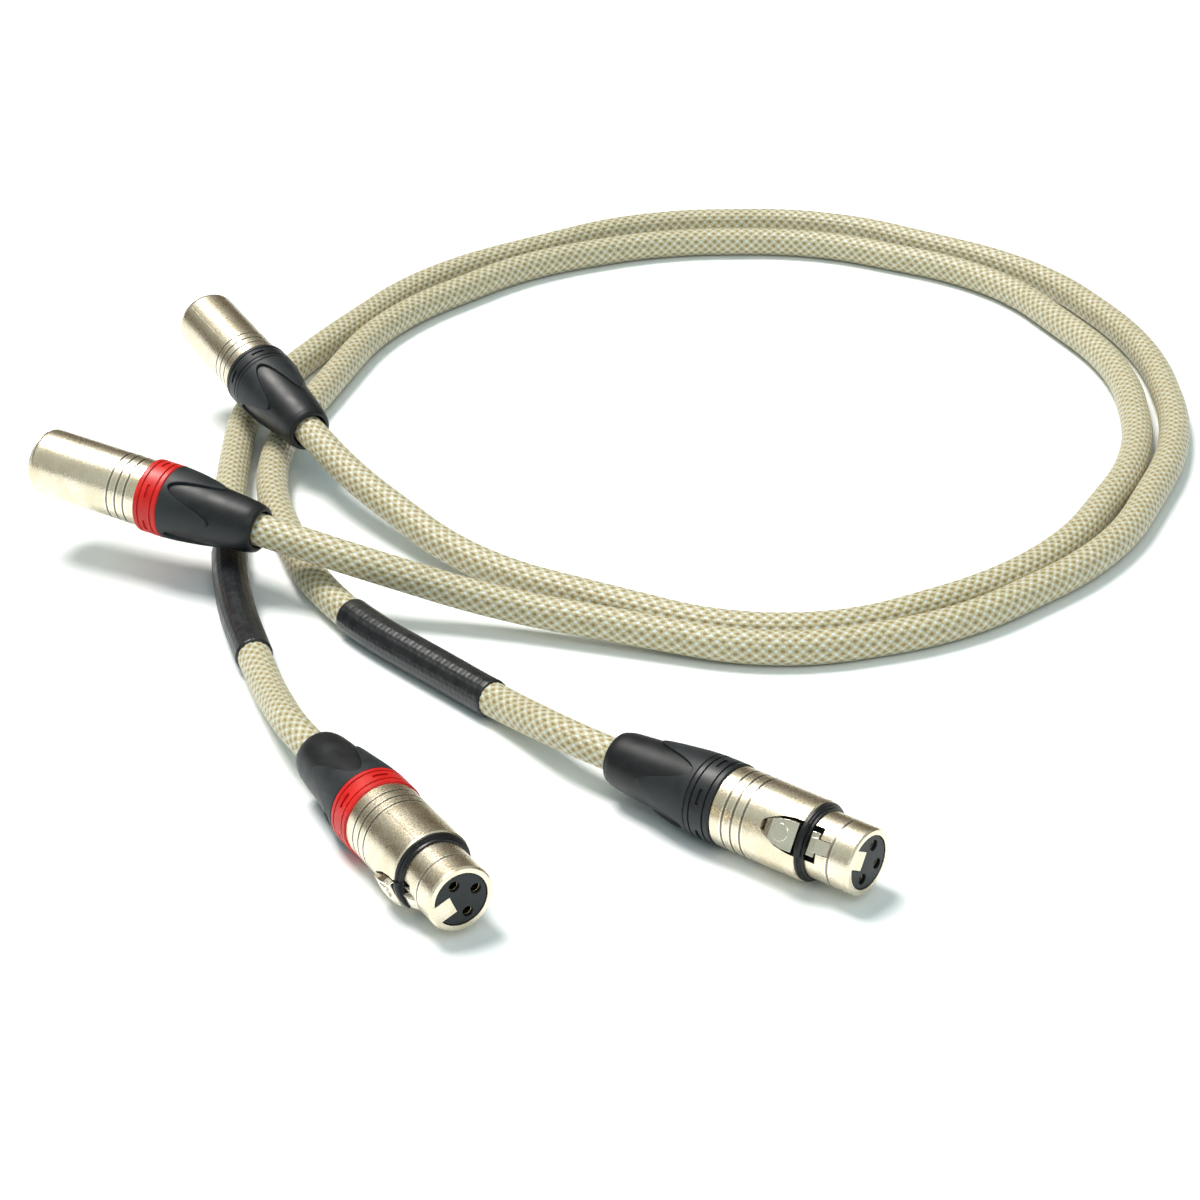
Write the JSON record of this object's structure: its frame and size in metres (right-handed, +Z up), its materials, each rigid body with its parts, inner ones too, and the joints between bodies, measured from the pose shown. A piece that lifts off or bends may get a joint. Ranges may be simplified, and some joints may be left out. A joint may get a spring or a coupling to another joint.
{
  "type": "xlr cable coil",
  "caption": "Braided microphone cables loosely coiled together, each with a male and a female XLR connector.",
  "frame": {"origin": "on the ground plane at the middle of the coil", "axes": "+Z up from the ground; +Y to the far side of the coil as pictured, the female connectors lie on the -Y side; +X to the right"},
  "size_m": [0.3299, 0.4473, 0.0357],
  "materials": {
    "jacket": "matte",
    "braid": "braided champagne polyester with pale glints",
    "shrink": "semi-gloss",
    "shell": "satin nickel plated zinc",
    "latch": "polished",
    "spring": "spring steel",
    "insert": "matte black",
    "contact": "silver plated",
    "chuck": "matte black",
    "wire": "insulated",
    "ring_black": "satin",
    "ring_red": "satin",
    "boot": "fine matte texture",
    "boot_tail": "smooth satin",
    "gasket": "matte"
  },
  "bodies": {
    "coil": {"a_coil_core": "jacket", "a_coil_sleeve": "braid", "a_shrink": "shrink", "b_coil_core": "jacket", "b_coil_sleeve": "braid", "b_shrink": "shrink"},
    "a_male_end": {"a_m_core": "jacket", "a_m_sleeve": "braid", "a_m_shell": "shell", "a_m_insert": "insert", "a_m_pins": "contact", "a_m_chuck": "chuck", "a_m_wires": "wire"},
    "a_female_end": {"a_f_core": "jacket", "a_f_sleeve": "braid", "a_f_shell": "shell", "a_f_insert": "insert", "a_f_sockets": "contact", "a_f_gasket": "gasket", "a_f_chuck": "chuck", "a_f_wires": "wire"},
    "a_latch": {"a_f_latch": "latch", "a_f_spring": "spring"},
    "a_male_ring": {"a_m_ring": "ring_black"},
    "a_male_boot": {"a_m_boot": "boot", "a_m_boot_tail": "boot_tail"},
    "a_female_ring": {"a_f_ring": "ring_black"},
    "a_female_boot": {"a_f_boot": "boot", "a_f_boot_tail": "boot_tail"},
    "b_male_end": {"b_m_core": "jacket", "b_m_sleeve": "braid", "b_m_shell": "shell", "b_m_insert": "insert", "b_m_pins": "contact", "b_m_chuck": "chuck", "b_m_wires": "wire"},
    "b_female_end": {"b_f_core": "jacket", "b_f_sleeve": "braid", "b_f_shell": "shell", "b_f_insert": "insert", "b_f_sockets": "contact", "b_f_gasket": "gasket", "b_f_chuck": "chuck", "b_f_wires": "wire"},
    "b_latch": {"b_f_latch": "latch", "b_f_spring": "spring"},
    "b_male_ring": {"b_m_ring": "ring_red"},
    "b_male_boot": {"b_m_boot": "boot", "b_m_boot_tail": "boot_tail"},
    "b_female_ring": {"b_f_ring": "ring_red"},
    "b_female_boot": {"b_f_boot": "boot", "b_f_boot_tail": "boot_tail"}
  },
  "joints": [
    {"name": "a_male_swing", "type": "hinge", "parent": "coil", "child": "a_male_end", "pos_m": [-0.11126, -0.05874, 0.0143], "axis": [0, 0, 1], "range_deg": [-12, 12]},
    {"name": "a_female_swing", "type": "hinge", "parent": "coil", "child": "a_female_end", "pos_m": [-0.0495, -0.20199, 0.00802], "axis": [0, 0, 1], "range_deg": [-15, 15]},
    {"name": "a_latch_press", "type": "hinge", "parent": "a_female_end", "child": "a_latch", "pos_m": [0.00289, -0.25838, 0.0136], "axis": [0.3165, 0.3772, 0.8704], "range_deg": [0, 4.5]},
    {"name": "a_male_ring_back", "type": "slide", "parent": "a_male_end", "child": "a_male_ring", "axis": [0.5161, -0.8421, -0.1564], "range_m": [0, 0.006]},
    {"name": "a_male_boot_unscrew", "type": "hinge", "parent": "a_male_ring", "child": "a_male_boot", "pos_m": [-0.12674, -0.03347, 0.019], "axis": [0.5161, -0.8421, -0.1564], "range_deg": [0, 1440]},
    {"name": "a_female_ring_back", "type": "slide", "parent": "a_female_end", "child": "a_female_ring", "axis": [-0.766, 0.6428, 0], "range_m": [0, 0.006]},
    {"name": "a_female_boot_unscrew", "type": "hinge", "parent": "a_female_ring", "child": "a_female_boot", "pos_m": [-0.01676, -0.23372, 0.01005], "axis": [-0.766, 0.6428, 0], "range_deg": [0, 1440]},
    {"name": "b_male_swing", "type": "hinge", "parent": "coil", "child": "b_male_end", "pos_m": [-0.11367, -0.1233, 0.01749], "axis": [0, 0, 1], "range_deg": [-12, 12]},
    {"name": "b_female_swing", "type": "hinge", "parent": "coil", "child": "b_female_end", "pos_m": [-0.11205, -0.19584, 0.008], "axis": [0, 0, 1], "range_deg": [-15, 15]},
    {"name": "b_latch_press", "type": "hinge", "parent": "b_female_end", "child": "b_latch", "pos_m": [-0.08177, -0.26671, 0.00718], "axis": [-0.3453, -0.1994, 0.9171], "range_deg": [0, 4.5]},
    {"name": "b_male_ring_back", "type": "slide", "parent": "b_male_end", "child": "b_male_ring", "axis": [0.8876, -0.4523, -0.0872], "range_m": [0, 0.006]},
    {"name": "b_male_boot_unscrew", "type": "hinge", "parent": "b_male_ring", "child": "b_male_boot", "pos_m": [-0.1403, -0.10974, 0.02011], "axis": [0.8876, -0.4523, -0.0872], "range_deg": [0, 1440]},
    {"name": "b_female_ring_back", "type": "slide", "parent": "b_female_end", "child": "b_female_ring", "axis": [-0.5, 0.866, 0], "range_m": [0, 0.006]},
    {"name": "b_female_boot_unscrew", "type": "hinge", "parent": "b_female_ring", "child": "b_female_boot", "pos_m": [-0.0915, -0.23664, 0.01005], "axis": [-0.5, 0.866, 0], "range_deg": [0, 1440]}
  ],
  "couplings": [
    {"joint": "a_male_ring_back", "follows": "a_male_boot_unscrew", "m_per_rad": 0.00023873},
    {"joint": "a_female_ring_back", "follows": "a_female_boot_unscrew", "m_per_rad": 0.00023873},
    {"joint": "b_male_ring_back", "follows": "b_male_boot_unscrew", "m_per_rad": 0.00023873},
    {"joint": "b_female_ring_back", "follows": "b_female_boot_unscrew", "m_per_rad": 0.00023873}
  ]
}
